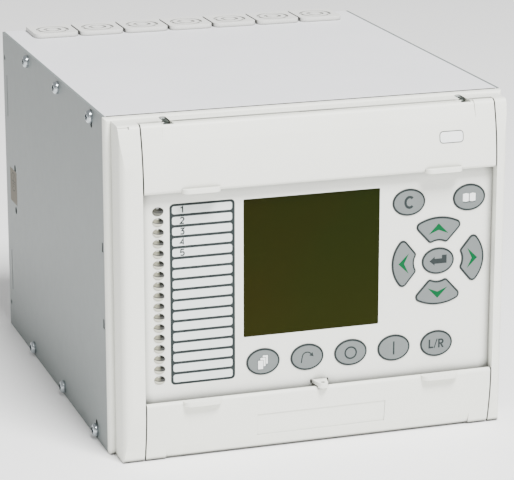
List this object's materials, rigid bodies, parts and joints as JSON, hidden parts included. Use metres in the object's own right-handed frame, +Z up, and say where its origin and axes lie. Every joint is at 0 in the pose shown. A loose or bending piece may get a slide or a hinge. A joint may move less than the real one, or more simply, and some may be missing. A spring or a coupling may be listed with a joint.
{
  "type": "protection relay",
  "caption": "Box-shaped protection relay for a switchgear panel: sheet-metal case, moulded front with display, keys and indicator lenses, hinged flaps and rear terminal blocks.",
  "frame": {"origin": "centre of the footprint, on the surface that the case stands on", "axes": "+X to the right seen from the front, +Y from the front to the back, +Z up"},
  "size_m": [0.2186, 0.2536, 0.1801],
  "materials": {
    "panel_paint": "satin grey paint",
    "top_paint": "satin light grey paint",
    "zinc_steel": "bright zinc plate",
    "bezel_plastic": "fine moulded texture",
    "overlay_film": "printed matt film",
    "key_film": "printed matt film",
    "lens_plastic": "clear moulding",
    "display_plastic": "dark display window",
    "circuit_board": "solder mask",
    "dark_plastic": "moulded dark plastic"
  },
  "bodies": {
    "case": {"left_side_panel": "panel_paint", "right_side_panel": "panel_paint", "top_panel": "top_paint", "bottom_panel": "panel_paint", "rear_plate": "panel_paint", "rear_plate_screws": "zinc_steel", "side_screws": "zinc_steel", "cable_plugs": "bezel_plastic", "front_bezel": "bezel_plastic", "top_screws": "zinc_steel", "front_overlay": "overlay_film", "label_strip": "overlay_film", "led_light_pipe": "lens_plastic", "display_window": "display_plastic", "display_module": "dark_plastic", "control_board": "circuit_board", "board_screws": "zinc_steel", "key_switches": "dark_plastic", "sealing_tongue": "bezel_plastic", "service_port": "zinc_steel", "bus_board": "circuit_board", "board_connector": "dark_plastic", "processor_board": "circuit_board", "relay_board": "circuit_board", "input_board": "circuit_board", "transformer_board": "circuit_board", "power_board": "circuit_board", "upper_card_guides": "dark_plastic", "lower_card_guides": "dark_plastic", "relay_terminals": "dark_plastic", "input_terminals": "dark_plastic", "power_terminals": "dark_plastic", "transformer_terminals": "dark_plastic", "signal_screws": "zinc_steel", "heavy_screws": "zinc_steel"},
    "upper_flap": {"upper_flap": "bezel_plastic"},
    "lower_flap": {"lower_flap": "bezel_plastic"},
    "key_clear": {"key_clear": "key_film"},
    "key_read": {"key_read": "key_film"},
    "key_up": {"key_up": "key_film"},
    "key_left": {"key_left": "key_film"},
    "key_enter": {"key_enter": "key_film"},
    "key_right": {"key_right": "key_film"},
    "key_down": {"key_down": "key_film"},
    "key_page": {"key_page": "key_film"},
    "key_jump": {"key_jump": "key_film"},
    "key_open": {"key_open": "key_film"},
    "key_close": {"key_close": "key_film"},
    "key_remote": {"key_remote": "key_film"}
  },
  "joints": [
    {"name": "upper_flap_hinge", "type": "hinge", "parent": "case", "child": "upper_flap", "pos_m": [0, -0.1158, 0.1728], "axis": [-1, 0, 0], "range_deg": [0, 110]},
    {"name": "lower_flap_hinge", "type": "hinge", "parent": "case", "child": "lower_flap", "pos_m": [0, -0.11733, 0.0032], "axis": [1, 0, 0], "range_deg": [0, 70]},
    {"name": "key_clear_press", "type": "slide", "parent": "case", "child": "key_clear", "axis": [0, 1, 0], "range_m": [0, 0.0005], "stiffness_N_per_m": 2000, "springref_m": -0.0005},
    {"name": "key_read_press", "type": "slide", "parent": "case", "child": "key_read", "axis": [0, 1, 0], "range_m": [0, 0.0005], "stiffness_N_per_m": 2000, "springref_m": -0.0005},
    {"name": "key_up_press", "type": "slide", "parent": "case", "child": "key_up", "axis": [0, 1, 0], "range_m": [0, 0.0005], "stiffness_N_per_m": 2000, "springref_m": -0.0005},
    {"name": "key_left_press", "type": "slide", "parent": "case", "child": "key_left", "axis": [0, 1, 0], "range_m": [0, 0.0005], "stiffness_N_per_m": 2000, "springref_m": -0.0005},
    {"name": "key_enter_press", "type": "slide", "parent": "case", "child": "key_enter", "axis": [0, 1, 0], "range_m": [0, 0.0005], "stiffness_N_per_m": 2000, "springref_m": -0.0005},
    {"name": "key_right_press", "type": "slide", "parent": "case", "child": "key_right", "axis": [0, 1, 0], "range_m": [0, 0.0005], "stiffness_N_per_m": 2000, "springref_m": -0.0005},
    {"name": "key_down_press", "type": "slide", "parent": "case", "child": "key_down", "axis": [0, 1, 0], "range_m": [0, 0.0005], "stiffness_N_per_m": 2000, "springref_m": -0.0005},
    {"name": "key_page_press", "type": "slide", "parent": "case", "child": "key_page", "axis": [0, 1, 0], "range_m": [0, 0.0005], "stiffness_N_per_m": 2000, "springref_m": -0.0005},
    {"name": "key_jump_press", "type": "slide", "parent": "case", "child": "key_jump", "axis": [0, 1, 0], "range_m": [0, 0.0005], "stiffness_N_per_m": 2000, "springref_m": -0.0005},
    {"name": "key_open_press", "type": "slide", "parent": "case", "child": "key_open", "axis": [0, 1, 0], "range_m": [0, 0.0005], "stiffness_N_per_m": 2000, "springref_m": -0.0005},
    {"name": "key_close_press", "type": "slide", "parent": "case", "child": "key_close", "axis": [0, 1, 0], "range_m": [0, 0.0005], "stiffness_N_per_m": 2000, "springref_m": -0.0005},
    {"name": "key_remote_press", "type": "slide", "parent": "case", "child": "key_remote", "axis": [0, 1, 0], "range_m": [0, 0.0005], "stiffness_N_per_m": 2000, "springref_m": -0.0005}
  ]
}
